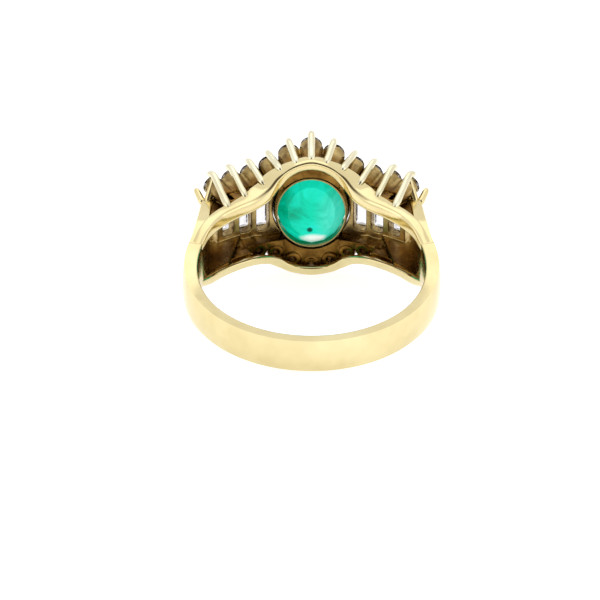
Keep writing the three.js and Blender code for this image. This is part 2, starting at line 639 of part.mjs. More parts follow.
// The web under the baguettes, with the cups of the outer stones.
function wingSeats() {
  const places = roundPlaces.slice(3);
  const fromX = EMERALD_HALF_WIDTH - COLLET_TAPER_X; // inside the collet, which cuts it back
  const toX = baguettePlaces.at(-1).x + BAGUETTE_WIDTH / 2 + 0.2;
  const halfZ = rowWallFromZ + 0.1;
  const web = shell(fromX, toX, PLATE_TOP - 0.25, PLATE_TOP + PLATE_THICKNESS, -halfZ, halfZ);
  const wall = shell(
    places[0].x - 0.6, endStone.x + 0.3, 0.3, SEAT_DEPTH - 0.12, rowWallFromZ, rowWallFromZ + ROW_WALL_THICKNESS);
  const floor = shell(
    fromX, endStone.x + 0.3, SEAT_DEPTH - 0.1 - FLOOR_THICKNESS, SEAT_DEPTH - 0.1,
    rowWallFromZ, rowWallFromZ + FLOOR_WIDTH);
  return without(joined([web, ...onRows([wall, floor, gusset(), ...places.map(seatCup)])]), [
    ...baguettePlaces.map(windowHole), colletOutside, arm, ...emeraldClaws,
    ...onRows([halo, ...places.map(seatHole), rail, ...clawWires, ...stoneSpaces]),
  ]);
}

const halo = haloSeats();
const wing = wingSeats();

// ---- Assembly ----

const ring = new THREE.Group();

function put(name, geometry, look) {
  const mesh = new THREE.Mesh(geometry, new THREE.MeshStandardMaterial(look));
  mesh.name = name;
  ring.add(mesh);
}

const putSolid = (name, solid, look = GOLD) => put(name, geometryOf(solid), look);

putSolid("shank_band", band());
for (const [sideName, side] of sides) {
  putSolid(`shoulder_arm_${sideName}`, mirrored(arm, side, 1));
  putSolid(`wing_seats_${sideName}`, mirrored(wing, side, 1));
}
const stones = roundPlaces.map((place) => solidOf(roundAt(place)));
for (const [rowName, row] of rows) {
  putSolid(`gallery_rail_${rowName}`, mirrored(rail, 1, row));
  putSolid(`halo_seats_${rowName}`, mirrored(halo, 1, row));
  putSolid(`round_stone_${rowName}_centre`, mirrored(stones[0], 1, row), CLEAR_STONE);
  for (const [sideName, side] of sides) {
    for (let k = 1; k < stones.length; k++) {
      putSolid(`claw_${rowName}_${sideName}_${k}`, mirrored(claws[k], side, row));
      putSolid(`round_stone_${rowName}_${sideName}_${k}`, mirrored(stones[k], side, row), CLEAR_STONE);
    }
  }
}
for (const [sideName, side] of sides) {
  baguettePlaces.forEach((place, k) =>
    putSolid(`baguette_${sideName}_${k + 1}`, mirrored(solidOf(baguetteAt(place)), side, 1), CLEAR_STONE));
}
putSolid("emerald_collet", collet());
put("emerald", emerald(), EMERALD_GREEN);

// ---- Resting on the table ----

// The ring rests on the lower edge of its band and the tip of its lower middle claw.
const bandFoot = new THREE.Vector2(-(FINGER_RADIUS + BAND_EDGE_THICKNESS), -BAND_HALF_WIDTH);
const lowestClaw = new THREE.Box3().setFromObject(ring.getObjectByName("halo_seats_lower"));
const clawFoot = new THREE.Vector2(lowestClaw.max.y - 0.1, lowestClaw.min.z);
const restTilt = Math.atan2(bandFoot.y - clawFoot.y, clawFoot.x - bandFoot.x);
ring.rotation.x = restTilt;

const part = new THREE.Group();
part.add(ring);
part.updateMatrixWorld(true);
const box = new THREE.Box3().setFromObject(part, true);
ring.position.set(0, -(box.min.y + box.max.y) / 2, -box.min.z);

export default part;
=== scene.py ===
"""Looks of the cocktail ring: polished and cast gold with cut stones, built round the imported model."""

import math

import bmesh
import bpy
import numpy as np
from mathutils import Matrix, Vector


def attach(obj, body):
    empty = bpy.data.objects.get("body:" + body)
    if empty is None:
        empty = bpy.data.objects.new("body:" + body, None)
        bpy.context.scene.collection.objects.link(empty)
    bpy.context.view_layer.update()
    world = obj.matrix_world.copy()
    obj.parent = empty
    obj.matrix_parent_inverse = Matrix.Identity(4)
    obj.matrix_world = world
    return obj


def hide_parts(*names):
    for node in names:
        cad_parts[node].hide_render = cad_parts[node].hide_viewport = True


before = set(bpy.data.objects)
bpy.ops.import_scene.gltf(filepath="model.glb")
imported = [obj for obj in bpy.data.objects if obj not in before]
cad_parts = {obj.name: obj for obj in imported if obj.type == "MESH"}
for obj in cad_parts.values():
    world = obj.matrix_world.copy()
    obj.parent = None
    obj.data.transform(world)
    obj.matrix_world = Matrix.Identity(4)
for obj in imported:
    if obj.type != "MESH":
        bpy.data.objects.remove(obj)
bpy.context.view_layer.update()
scene = bpy.context.scene
MM = 0.001

# ---- Sizes in millimetres, in the ring's own frame: Z is the finger hole's axis and +Y points at the head ----

FINGER_RADIUS = 8.65
BAND_END_ANGLE, BAND_TAPER_ANGLE = 75, 130  # degrees from the head
BAND_HALF_WIDTH, BAND_END_HALF_WIDTH = 1.35, 2.0
BAND_EDGE_THICKNESS, BAND_CROWN, BAND_END_EXTRA = 0.84, 0.18, 0.2
STRAP_CORNER = 0.16  # radius of the band's and the arms' inner edges
BAND_FULLNESS, ARM_FULLNESS = 2.6, 5.6  # how square the domed outside is

ARM_TOP_Y, ARM_TOP_INNER_X, ARM_TOP_THICKNESS, ARM_TOP_HALF_WIDTH = 8.25, 7.55, 1.1, 2.4
ARM_CROWN, ARM_TOP_ROUNDING = 0.3, 0.22
ARM_ON_CROWN = 0.9  # where an arm's outer line starts, as a share of the band's crown
ARM_INNER_LEAD, ARM_OUTER_LEAD = 1.9, 1.5  # how far each line of an arm keeps the band's direction

RAIL_DEPTH, RAIL_WING_DEPTH, RAIL_END_DEPTH, RAIL_INNER_DEPTH = 0.95, 1.4, 0.85, 0.45
RAIL_SLOPE_FROM = 0.6  # share of the rail's height at which its underside starts to slope in
RAIL_ROUNDING = [0.26, 0.2, 0.3, 0.26, 0.3]  # of the section's corners, from the finger side's inner one
ARCH_INNER_Z, ARCH_HEIGHT = 4.56, 0.78
WING_INNER_Z, WING_HEIGHT, WING_LEAN = 2.1, 0.94, 0.42
CUSP_X = 2.75  # where a rail's arch turns into its wing

HEAD_RADIUS, HEAD_TOP_Y = 13.5, 11.75  # of the curve that the small stones' edges lie on
PLATE_TOP, PLATE_THICKNESS = 0.15, 1.0
PLATE_OVERLAP = 0.3  # of the solids that are joined into one casting
SEAT_DEPTH, CUP_TOP, SEAT_WALL, SEAT_FOOT_RADIUS = 2.35, 0.32, 0.06, 0.62
SEAT_GAP, POCKET_DEPTH, HOLE_FROM = 0.03, 0.8, 0.6  # beside a stone, under it, and down to its hole
ROW_WALL_FROM_Z, ROW_WALL_TO_Z = 2.35, 3.3
FLOOR_THICKNESS, FLOOR_WIDTH = 0.5, 0.75
GUSSET_SPAN, GUSSET_THICKNESS, GUSSET_FROM_Z = (0.86, 0.97), 0.35, 1.89
HALO_RIM, HALO_TOP_RIM, HALO_THICKNESS, HALO_FROM_Z = 1.25, 0.6, 1.2, 2.45

ROUND_HOLE_RADIUS = 0.27
ROUNDS = [  # x, z and radius of the stones of one quarter, from the centre out
    (0, 4.83, 0.86), (1.75, 4.23, 0.86), (3.36, 3.38, 0.8),
    (4.88, 3.0, 0.74), (6.36, 2.9, 0.74), (7.76, 2.84, 0.74)]
HALO_ROUNDS, WING_ROUNDS = (1, 2), (3, 4, 5)
BAGUETTE_WIDTH, BAGUETTE_DEPTH, BAGUETTE_PITCH, FIRST_BAGUETTE_X = 1.36, 0.85, 1.46, 4.15
BAGUETTE_HALF_LENGTHS = [2.1, 1.95, 1.8]
BAGUETTE_TOP, BAGUETTE_RAISE, BAGUETTE_GAP = 0.22, 0.05, 0.04
WINDOW_LEDGE, WINDOW_CORNER = 0.18, 0.42
GIRDLE = 0.02  # half the thickness of a small stone's edge

EMERALD_HALF_WIDTH, EMERALD_HALF_LENGTH, EMERALD_GIRDLE_Y = 3.0, 3.75, 12.0
EMERALD_CROWN, EMERALD_PAVILION = 1.0, 2.35
COLLET_FOOT_Y, COLLET_FOOT_HALF_WIDTH, COLLET_FOOT_HALF_LENGTH, COLLET_WALL = 9.55, 2.6, 3.05, 0.28
COLLET_LIP = 0.17  # thickness at the foot
COLLET_GAP = 0.02
EMERALD_CLAW_ANGLE, EMERALD_CLAW_RADIUS = 41, 0.24

CLAW_RADIUS, CLAW_TIP_RADIUS, CLAW_RISE, CLAW_BITE, END_CLAW_RADIUS = 0.3, 0.27, 0.45, 0.1, 0.3
CLAW_SINK, CLAW_FLARE = 0.45, 0.1  # how far a foot runs into the rail, and how much wider it is
CLAW_BEND = 0.3  # how far below the stones' edges a claw turns over them
CLAW_FOOT_DEPTH, CLAW_FOOT_INSET = 0.82, 0.1  # share of the rail's depth, and from its outer edge
CLAW_FOOT_XS = [0, 1.2, 2.5, 3.85, 5.15, 6.45]
TIP_SHARE = 0.85  # an arm claw's radius at its tip over that at its foot

# ---- The ring's frame, found from the emerald's table ----

LEVEL = 1e-5  # metres by which points of one flat face may differ in height


def ring_frame():
    """The ring's frame in metres, whose Y axis runs through the middle of the emerald's flat top."""
    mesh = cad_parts["emerald"].data
    mesh.calc_loop_triangles()
    best = {}
    for tri in mesh.loop_triangles:
        n = tri.normal
        key = (round(n.x, 2), round(n.y, 2), round(n.z, 2))
        area, total = best.get(key, (0, Vector()))
        best[key] = (area + tri.area, total + n * tri.area)
    up = max((v for v in best.values() if v[1].y > 0), key=lambda v: v[0])[1].normalized()
    tilt = math.atan2(up.z, up.y)
    top = max((v.co for v in mesh.vertices), key=lambda co: co.dot(up))
    level = [v.co for v in mesh.vertices if v.co.dot(up) > top.dot(up) - LEVEL]
    centre = sum(level, Vector()) / len(level)
    turn = Matrix.Rotation(tilt, 4, "X")
    table = turn @ Vector((0, (EMERALD_GIRDLE_Y + EMERALD_CROWN) * MM, 0))
    return Matrix.Translation(centre - table) @ turn


RING = ring_frame()
TO_WORLD = RING @ Matrix.Scale(MM, 4)


# ---- Curves and sections ----

def smoothstep(low, high, x):
    t = min(max((x - low) / (high - low), 0), 1)
    return t * t * (3 - 2 * t)


def lerp(a, b, t):
    return a + (b - a) * t


def vec(x, y, z):
    return np.array([x, y, z], float)


def unit(v):
    return v / np.linalg.norm(v)


STEP = 1e-4  # of a curve's parameter, between the two points that give its direction


class Spline:
    """A centripetal Catmull-Rom curve through points."""

    def __init__(self, points):
        self.points = [np.array(p, float) for p in points]

    def at(self, t):
        pts = self.points
        last = len(pts) - 1
        place = min(max(t, 0), 1) * last
        i = min(int(place), last - 1)
        w = place - i
        p1, p2 = pts[i], pts[i + 1]
        p0 = pts[i - 1] if i > 0 else 2 * p1 - p2
        p3 = pts[i + 2] if i + 2 <= last else 2 * p2 - p1
        d0, d1, d2 = (max(np.linalg.norm(b - a) ** 0.5, STEP) for a, b in ((p0, p1), (p1, p2), (p2, p3)))
        t1 = ((p1 - p0) / d0 - (p2 - p0) / (d0 + d1) + (p2 - p1) / d1) * d1
        t2 = ((p2 - p1) / d1 - (p3 - p1) / (d1 + d2) + (p3 - p2) / d2) * d1
        return (p1 + t1 * w + (-3 * p1 + 3 * p2 - 2 * t1 - t2) * w ** 2
                + (2 * p1 - 2 * p2 + t1 + t2) * w ** 3)

    def along(self, t):
        return unit(self.at(min(t + STEP, 1)) - self.at(max(t - STEP, 0)))


def rounded(corners, radii, steps=4):
    """The corners of a convex outline, each turned into an arc."""
    out = []
    count = len(corners)
    for i, here in enumerate(corners):
        before, after = np.array(corners[i - 1], float), np.array(corners[(i + 1) % count], float)
        here = np.array(here, float)
        a, b = before - here, after - here
        reach = min(radii[i], 0.49 * np.linalg.norm(a), 0.49 * np.linalg.norm(b))
        start, end = here + unit(a) * reach, here + unit(b) * reach
        for k in range(steps + 1):
            t = k / steps
            out.append((1 - t) ** 2 * start + 2 * t * (1 - t) * here + t * t * end)
    return out


def circle(count, turn=0.0):
    """Angles of equally spaced points round a circle."""
    return [2 * math.pi * (k + turn) / count for k in range(count)]


def mirror(verts, side=1, row=1):
    return [vec(side * v[0], v[1], row * v[2]) for v in verts]


# ---- Meshes ----

def loft(loops, closed=False):
    """Vertices and faces of a skin over loops of equally many points."""
    count = len(loops[0])
    verts = [np.array(v, float) for loop in loops for v in loop]
    faces = []
    turns = len(loops) if closed else len(loops) - 1
    for i in range(turns):
        for k in range(count):
            a, b = i * count + k, i * count + (k + 1) % count
            c = ((i + 1) % len(loops)) * count
            faces.append((a, b, c + (k + 1) % count, c + k))
    if not closed:
        faces.append(tuple(range(count))[::-1])
        faces.append(tuple((len(loops) - 1) * count + k for k in range(count)))
    return verts, faces


def combine(*parts):
    """Several parts' vertices and faces as one part's."""
    verts, faces = [], []
    for v, f in parts:
        faces += [tuple(i + len(verts) for i in face) for face in f]
        verts += list(v)
    return verts, faces


def mesh_of(name, verts, faces, place=None):
    """A mesh whose faces all look outwards."""
    mesh = bpy.data.meshes.new(name)
    mesh.from_pydata([tuple(v) for v in verts], [], faces)
    bm = bmesh.new()
    bm.from_mesh(mesh)
    bmesh.ops.recalc_face_normals(bm, faces=bm.faces)
    bm.to_mesh(mesh)
    bm.free()
    if place is not None:
        mesh.transform(place)
    return mesh


FLAT = 0.002  # radians between two faces that count as one


def hull(name, points):
    """A cut stone: the convex skin round its corners, with each facet one face."""
    bm = bmesh.new()
    for p in points:
        bm.verts.new(tuple(p))
    made = bmesh.ops.convex_hull(bm, input=bm.verts)
    inside = [v for v in made["geom_interior"] if isinstance(v, bmesh.types.BMVert)]
    bmesh.ops.delete(bm, geom=inside, context="VERTS")
    bmesh.ops.dissolve_limit(bm, angle_limit=FLAT, verts=bm.verts, edges=bm.edges)
    bmesh.ops.recalc_face_normals(bm, faces=bm.faces)
    mesh = bpy.data.meshes.new(name)
    bm.to_mesh(mesh)
    bm.free()
    return mesh


SHARP_ANGLE = math.radians(48)  # edges sharper than this stay crisp on a smooth piece


def piece(name, mesh, look, nodes, smooth=True):
    """Puts a mesh in the scene as one piece of the ring, in place of the named nodes."""
    obj = bpy.data.objects.new(name, mesh)
    scene.collection.objects.link(obj)
    mesh.materials.clear()
    mesh.materials.append(look)
    mesh.polygons.foreach_set("use_smooth", [smooth] * len(mesh.polygons))
    if smooth:
        mesh.set_sharp_from_angle(angle=SHARP_ANGLE)
    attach(obj, "root")
    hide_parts(*nodes)


# ---- Materials ----

def material(name):
    """A new material, its node tree and its shader."""
    made = bpy.data.materials.new(name)
    made.use_nodes = True
    tree = made.node_tree
    tree.nodes.clear()
    out = tree.nodes.new("ShaderNodeOutputMaterial")
    bsdf = tree.nodes.new("ShaderNodeBsdfPrincipled")
    tree.links.new(bsdf.outputs["BSDF"], out.inputs["Surface"])
    return made, tree, bsdf


def noise(tree, scale, detail, roughness=0.5, stretch=(1, 1, 1), distortion=0.0):
    """Noise over the object, scale waves to the metre."""
    coords = tree.nodes.new("ShaderNodeTexCoord")
    mapping = tree.nodes.new("ShaderNodeMapping")
    mapping.inputs["Scale"].default_value = stretch
    tree.links.new(coords.outputs["Object"], mapping.inputs["Vector"])
    tex = tree.nodes.new("ShaderNodeTexNoise")
    tex.inputs["Scale"].default_value = scale
    tex.inputs["Detail"].default_value = detail
    tex.inputs["Roughness"].default_value = roughness
    tex.inputs["Distortion"].default_value = distortion
    tree.links.new(mapping.outputs["Vector"], tex.inputs["Vector"])
    return tex.outputs["Fac"]


def ramp(tree, value, stops):
    """A colour that follows a value, through stops of position and colour."""
    node = tree.nodes.new("ShaderNodeValToRGB")
    ends = node.color_ramp.elements
    for element, (position, colour) in zip((ends[0], ends[1]), (stops[0], stops[-1])):
        element.position, element.color = position, (*colour, 1)
    for position, colour in stops[1:-1]:
        ends.new(position).color = (*colour, 1)
    tree.links.new(value, node.inputs["Fac"])
    return node.outputs["Color"]


NOISE_LOW, NOISE_HIGH = 0.3, 0.7  # nearly all of a noise's values lie between these


def mapped(tree, value, low, high, to_low=0.0, to_high=1.0, curve="SMOOTHSTEP"):
    """A value carried from one range to another, and held at its ends."""
    node = tree.nodes.new("ShaderNodeMapRange")
    node.interpolation_type = curve
    for socket, number in (("From Min", low), ("From Max", high), ("To Min", to_low), ("To Max", to_high)):
        node.inputs[socket].default_value = number
    tree.links.new(value, node.inputs["Value"])
    return node.outputs["Result"]


def spread(tree, value, low, high):
    """A noise spread evenly between two numbers."""
    return mapped(tree, value, NOISE_LOW, NOISE_HIGH, low, high, "LINEAR")


def bump(tree, value, height, before=None):
    """A normal that ripples with a value, over another normal if there is one."""
    node = tree.nodes.new("ShaderNodeBump")
    node.inputs["Strength"].default_value = 1.0
    node.inputs["Distance"].default_value = height
    tree.links.new(value, node.inputs["Height"])
    if before is not None:
        tree.links.new(before, node.inputs["Normal"])
    return node.outputs["Normal"]


def ring_coords(tree, shift):
    """Object coordinates in the ring's own frame, in metres, less a point given in millimetres."""
    coords = tree.nodes.new("ShaderNodeTexCoord")
    mapping = tree.nodes.new("ShaderNodeMapping")
    back = (RING @ Matrix.Translation(Vector(shift) * MM)).inverted()
    mapping.inputs["Rotation"].default_value = back.to_euler()
    mapping.inputs["Location"].default_value = back.to_translation()
    tree.links.new(coords.outputs["Object"], mapping.inputs["Vector"])
    return mapping.outputs["Vector"]


def distance(tree, centre, weights=(1, 1, 1)):
    """Distance in metres from a point in the ring's frame, with each axis stretched by its weight."""
    scaled = tree.nodes.new("ShaderNodeVectorMath")
    scaled.operation = "MULTIPLY"
    scaled.inputs[1].default_value = weights
    tree.links.new(ring_coords(tree, centre), scaled.inputs[0])
    length = tree.nodes.new("ShaderNodeVectorMath")
    length.operation = "LENGTH"
    tree.links.new(scaled.outputs["Vector"], length.inputs[0])
    return length.outputs["Value"]


def near(tree, centre, outer, inner, weights=(1, 1, 1)):
    """1 within the inner distance of a point and 0 beyond the outer one, both in millimetres."""
    return mapped(tree, distance(tree, centre, weights), outer * MM, inner * MM)


def mixed(tree, factor, a, b):
    node = tree.nodes.new("ShaderNodeMix")
    node.data_type = "RGBA"
    tree.links.new(factor, node.inputs[0])
    for socket, colour in ((6, a), (7, b)):  # the colour sockets of the three kinds that the node holds
        tree.links.new(colour, node.inputs[socket])
    return node.outputs[2]


def gold(name, colours, rough, ripple, grain, drift_scale=260, tint=None):
    """Yellow gold: slow colour drift, patches of duller polish, hairline scratches and a soft ripple."""
    made, tree, bsdf = material(name)
    bsdf.inputs["Metallic"].default_value = 1.0
    low, high = colours
    drift = noise(tree, drift_scale, 3, 0.55)
    colour = ramp(tree, drift, [(NOISE_LOW, low), (NOISE_HIGH, high)])
    tree.links.new(tint(tree, colour) if tint else colour, bsdf.inputs["Base Color"])
    tree.links.new(spread(tree, noise(tree, 900, 5, 0.65), *rough), bsdf.inputs["Roughness"])
    rippled = bump(tree, noise(tree, 330, 2, 0.4), ripple)
    scratched = bump(tree, noise(tree, 2600, 4, 0.7, stretch=(1, 1, 5)), grain, before=rippled)
    tree.links.new(scratched, bsdf.inputs["Normal"])
    return made


def painted_inner_shade(tree, clean):
    """Painted shade: the gold turns browner and darker the nearer it lies to the finger, inside the head."""
    reach = distance(tree, (0, HEAD_TOP_Y - HEAD_RADIUS, 0), (1, 1, 0))
    inside = mapped(tree, reach, (HEAD_RADIUS - 1.0) * MM, (HEAD_RADIUS - 2.1) * MM)
    shade_brown = ramp(tree, noise(tree, 520, 4, 0.6), [(0.35, (0.10, 0.045, 0.008)), (0.65, (0.30, 0.16, 0.035))])
    return mixed(tree, inside, clean, shade_brown)


POLISHED = gold("polished_gold", ((0.70, 0.58, 0.30), (0.82, 0.71, 0.40)), (0.07, 0.18), 1.2e-5, 1.2e-6)
TIP = gold("claw_gold", ((0.70, 0.63, 0.42), (0.86, 0.82, 0.62)), (0.1, 0.26), 1.2e-5, 2e-6)
# Painted shade: the seats' gold is a darker copy of the polished gold, and browner still towards the finger.
SHADED_CAST_GOLD = gold("cast_gold_painted_shade", ((0.15, 0.09, 0.03), (0.60, 0.44, 0.18)), (0.18, 0.42), 2.5e-5, 6e-6,
            drift_scale=850, tint=painted_inner_shade)
# Painted shade: the collet's gold is a darker copy of the polished gold.
SHADED_COLLET_GOLD = gold("collet_gold_painted_shade", ((0.24, 0.18, 0.06), (0.46, 0.36, 0.16)), (0.12, 0.3), 2e-5, 3e-6)


def clear_stone(name, ior):
    """Clear stone with a faint smoky cloud."""
    made, tree, bsdf = material(name)
    bsdf.inputs["Transmission Weight"].default_value = 1.0
    bsdf.inputs["IOR"].default_value = ior
    bsdf.inputs["Roughness"].default_value = 0.0
    smoke = [(NOISE_LOW, (0.80, 0.78, 0.82)), (NOISE_HIGH, (0.96, 0.97, 0.98))]
    tree.links.new(ramp(tree, noise(tree, 700, 2), smoke), bsdf.inputs["Base Color"])
    return made


def green_stone():
    """Emerald: clouded green with a dark inclusion, painted shade to the left and over the crown, painted light
    to the right, a painted highlight below, and a painted glow of its own.
    """
    made, tree, bsdf = material("emerald")
    bsdf.inputs["Transmission Weight"].default_value = 0.12
    # Painted glow: the stone gives off light in its own colour, dimmer towards the crown.
    bsdf.inputs["Emission Strength"].default_value = 0.42
    bsdf.inputs["IOR"].default_value = 1.45
    bsdf.inputs["Specular IOR Level"].default_value = 0.1
    cloud = noise(tree, 420, 4, 0.62, distortion=0.8)
    green = ramp(tree, cloud, [(0.32, (0.0, 0.42, 0.24)), (0.5, (0.003, 0.7, 0.47)), (0.72, (0.01, 0.88, 0.7))])
    shade = ramp(tree, cloud, [(0.35, (0.0, 0.16, 0.07)), (0.5, (0.0, 0.42, 0.24)), (0.7, (0.0, 0.62, 0.42))])
    light = ramp(tree, cloud, [(0.3, (0.02, 0.72, 0.54)), (0.7, (0.16, 0.86, 0.74))])
    painted_highlight = ramp(tree, cloud, [(0.3, (0.30, 0.86, 0.72)), (0.7, (0.95, 1.0, 0.98))])
    dark = ramp(tree, cloud, [(0.3, (0.0, 0.03, 0.02)), (0.7, (0.0, 0.09, 0.06))])
    foot = EMERALD_GIRDLE_Y - EMERALD_PAVILION
    # Painted shade: the left side darker.
    colour = mixed(tree, near(tree, (-2.6, foot, 0.3), 2.6, 0.5), green, shade)
    # Painted light: the right side paler.
    colour = mixed(tree, near(tree, (2.3, foot, -0.5), 2.4, 0.5, (1, 1, 0.7)), colour, light)
    # Painted highlight: a whitish zone along the lower edge.
    colour = mixed(tree, near(tree, (0.2, foot, -2.75), 0.85, 0.45, (0.55, 1, 1)), colour, painted_highlight)
    colour = mixed(tree, near(tree, (-0.12, foot, -1.62), 0.30, 0.12), colour, dark)
    # Painted shade: the crown darker, and its glow dimmer.
    to_crown = mapped(tree, distance(tree, (0, foot, 0), (0, 1, 0)), 1.0 * MM, EMERALD_PAVILION * MM)
    tree.links.new(mixed(tree, to_crown, colour, shade), bsdf.inputs["Base Color"])
    tree.links.new(mixed(tree, to_crown, colour, dark), bsdf.inputs["Emission Color"])
    tree.links.new(spread(tree, noise(tree, 900, 3), 0.03, 0.14), bsdf.inputs["Roughness"])
    tree.links.new(bump(tree, noise(tree, 500, 2), 1.5e-5), bsdf.inputs["Normal"])
    return made


DIAMOND = clear_stone("diamond", 2.417)
STEP_CUT = clear_stone("step_cut", 1.5)  # bends light less, so that daylight comes through the windows
EMERALD = green_stone()

# ---- Band ----

def on_finger(radius, angle, z):
    return vec(radius * math.sin(angle), radius * math.cos(angle), z)


def band_size(angle):
    """Half the band's width, and the radius of its outer edges, at an angle from the head in degrees."""
    from_head = min(angle, 360 - angle)
    t = min(max((BAND_TAPER_ANGLE - from_head) / (BAND_TAPER_ANGLE - BAND_END_ANGLE), 0), 1)
    half = lerp(BAND_HALF_WIDTH, BAND_END_HALF_WIDTH, t ** 2)
    return half, FINGER_RADIUS + BAND_EDGE_THICKNESS + BAND_END_EXTRA * smoothstep(0, 1, t)


def section(half, inner, edge, crown, fullness, arc=28):
    """A strap's outline across the ring: flat finger side, rounded corners and a crowned outside."""
    corners = [(inner, -half), (inner, half), (edge, half), (edge, -half)]
    outline = rounded(corners, [STRAP_CORNER, STRAP_CORNER, 0, 0])[:10]  # the two inner corners' points
    for k in range(arc + 1):
        across = math.cos(math.pi * k / arc)
        outline.append((edge + crown * (1 - abs(across) ** fullness), half * across))
    return outline


def band(steps=220):
    loops = []
    for i in range(steps + 1):
        angle = lerp(BAND_END_ANGLE, 360 - BAND_END_ANGLE, i / steps)
        half, edge = band_size(angle)
        outline = section(half, FINGER_RADIUS, edge, BAND_CROWN, BAND_FULLNESS)
        loops.append([on_finger(r, math.radians(angle), z) for r, z in outline])
    return loft(loops)


# ---- Shoulder arms ----

def quadratic(a, b, c):
    return lambda t: (1 - t) ** 2 * a + 2 * t * (1 - t) * b + t * t * c


def arm_faces():
    """The lines of an arm's inner and outer face: both leave the band in its own direction."""
    foot = math.radians(BAND_END_ANGLE)
    edge = band_size(BAND_END_ANGLE)[1]
    top = vec(ARM_TOP_INNER_X, ARM_TOP_Y, 0)
    along_band = vec(-math.cos(foot), math.sin(foot), 0)
    inner = on_finger(FINGER_RADIUS, foot, 0)
    outer = on_finger(edge + ARM_ON_CROWN * BAND_CROWN, foot, 0)
    return (quadratic(inner, inner + ARM_INNER_LEAD * along_band, top),
            quadratic(outer, outer + ARM_OUTER_LEAD * along_band, top + vec(ARM_TOP_THICKNESS, 0, 0)))


def arm_wall(steps=60):
    inside, outside = arm_faces()
    loops = []
    for i in range(steps + 1):
        t = i / steps
        half = lerp(BAND_END_HALF_WIDTH, ARM_TOP_HALF_WIDTH, smoothstep(0, 0.6, t))
        pull = ARM_TOP_ROUNDING * smoothstep(0.95, 1, t) ** 2
        from_band = smoothstep(0, 0.5, t)
        crown = lerp(BAND_CROWN, ARM_CROWN, from_band)
        across = outside(t) - inside(t)
        width = np.linalg.norm(across)
        edge = width - crown + (1 - ARM_ON_CROWN) * BAND_CROWN - pull
        outline = section(half - pull, pull, edge, crown, lerp(BAND_FULLNESS, ARM_FULLNESS, from_band))
        loops.append([inside(t) + across * (u / width) + vec(0, 0, z) for u, z in outline])
    return loft(loops)


# ---- Rails ----

FORK = on_finger(FINGER_RADIUS, math.radians(BAND_END_ANGLE), 0)
ARCH_OUTER_Z = ARCH_INNER_Z + ARCH_HEIGHT
WING_OUTER_Z = WING_INNER_Z + WING_HEIGHT
RAIL_STATIONS = [  # x, y, inner z and outer z, from the top of the arch to the band
    (0, FINGER_RADIUS - 0.02, ARCH_INNER_Z, ARCH_OUTER_Z),
    (0.33 * CUSP_X, FINGER_RADIUS - 0.09, ARCH_INNER_Z - 0.14, ARCH_OUTER_Z - 0.17),
    (0.62 * CUSP_X, FINGER_RADIUS - 0.26, ARCH_INNER_Z - 0.6, ARCH_OUTER_Z - 0.5),
    (0.88 * CUSP_X, FINGER_RADIUS - 0.53, ARCH_INNER_Z - 1.35, ARCH_OUTER_Z - 1.02),
    (CUSP_X + 0.4, FINGER_RADIUS - 1.15, WING_INNER_Z + 0.5, WING_OUTER_Z + 0.62),
    (4.2, 6.74, WING_INNER_Z + 0.14, WING_OUTER_Z + 0.16),
    (5.5, 5.88, WING_INNER_Z, WING_OUTER_Z + 0.02),
    (6.7, 4.85, WING_INNER_Z - 0.12, WING_OUTER_Z - 0.06),
    (7.65, 3.62, WING_INNER_Z - 0.3, WING_OUTER_Z - 0.3),
    (FORK[0], FORK[1], BAND_END_HALF_WIDTH - 0.7, BAND_END_HALF_WIDTH),
]


def rail_line(to_point):
    """A curve through one point of each station, and through their mirror images."""
    half = [to_point(*s) for s in RAIL_STATIONS]
    return Spline([vec(-p[0], p[1], p[2]) for p in half[:0:-1]] + half)


def rail_lean(x):
    return WING_LEAN / 2 * smoothstep(0.6 * CUSP_X, CUSP_X + 0.6, x) * (1 - smoothstep(7, FORK[0], x))


RAIL_INNER = rail_line(lambda x, y, inner, outer: vec(x, y - rail_lean(x), inner))
RAIL_OUTER = rail_line(lambda x, y, inner, outer: vec(x, y + rail_lean(x), outer))


def rail_depth(x):
    return (RAIL_DEPTH + (RAIL_WING_DEPTH - RAIL_DEPTH) * smoothstep(0.4 * CUSP_X, CUSP_X + 0.5, x)
            + (RAIL_END_DEPTH - RAIL_WING_DEPTH) * smoothstep(CUSP_X + 1, 6, x))


def rail_back(t):
    """The way from the rail's finger side to its back."""
    along = RAIL_INNER.along(t)
    return unit(vec(-along[1], along[0], 0))


def rail(steps=200):
    loops = []
    for i in range(steps + 1):
        t = i / steps
        inner, outer, back = RAIL_INNER.at(t), RAIL_OUTER.at(t), rail_back(t)
        full = rail_depth(abs(inner[0]))
        height = np.linalg.norm(outer - inner)
        outline = rounded(
            [(0, 0), (RAIL_INNER_DEPTH, 0), (full, RAIL_SLOPE_FROM * height), (full, height), (0, height)],
            RAIL_ROUNDING)
        loops.append([inner + (outer - inner) * (up / height) + back * depth for depth, up in outline])
    return loft(loops)


# ---- Claws ----

FOOT_TAPER, FOOT_START = 0.3, 0.03  # shares of a wire over which its foot thins, and that it starts with
FLARE_SPAN = (0.05, 0.4)  # shares of a wire between which its flare fades
NOSE = 1.5  # length of a wire's tip over its radius
NOSE_TURNS = (20, 38, 54, 68, 80, 88)  # degrees at which the tip's loops stand


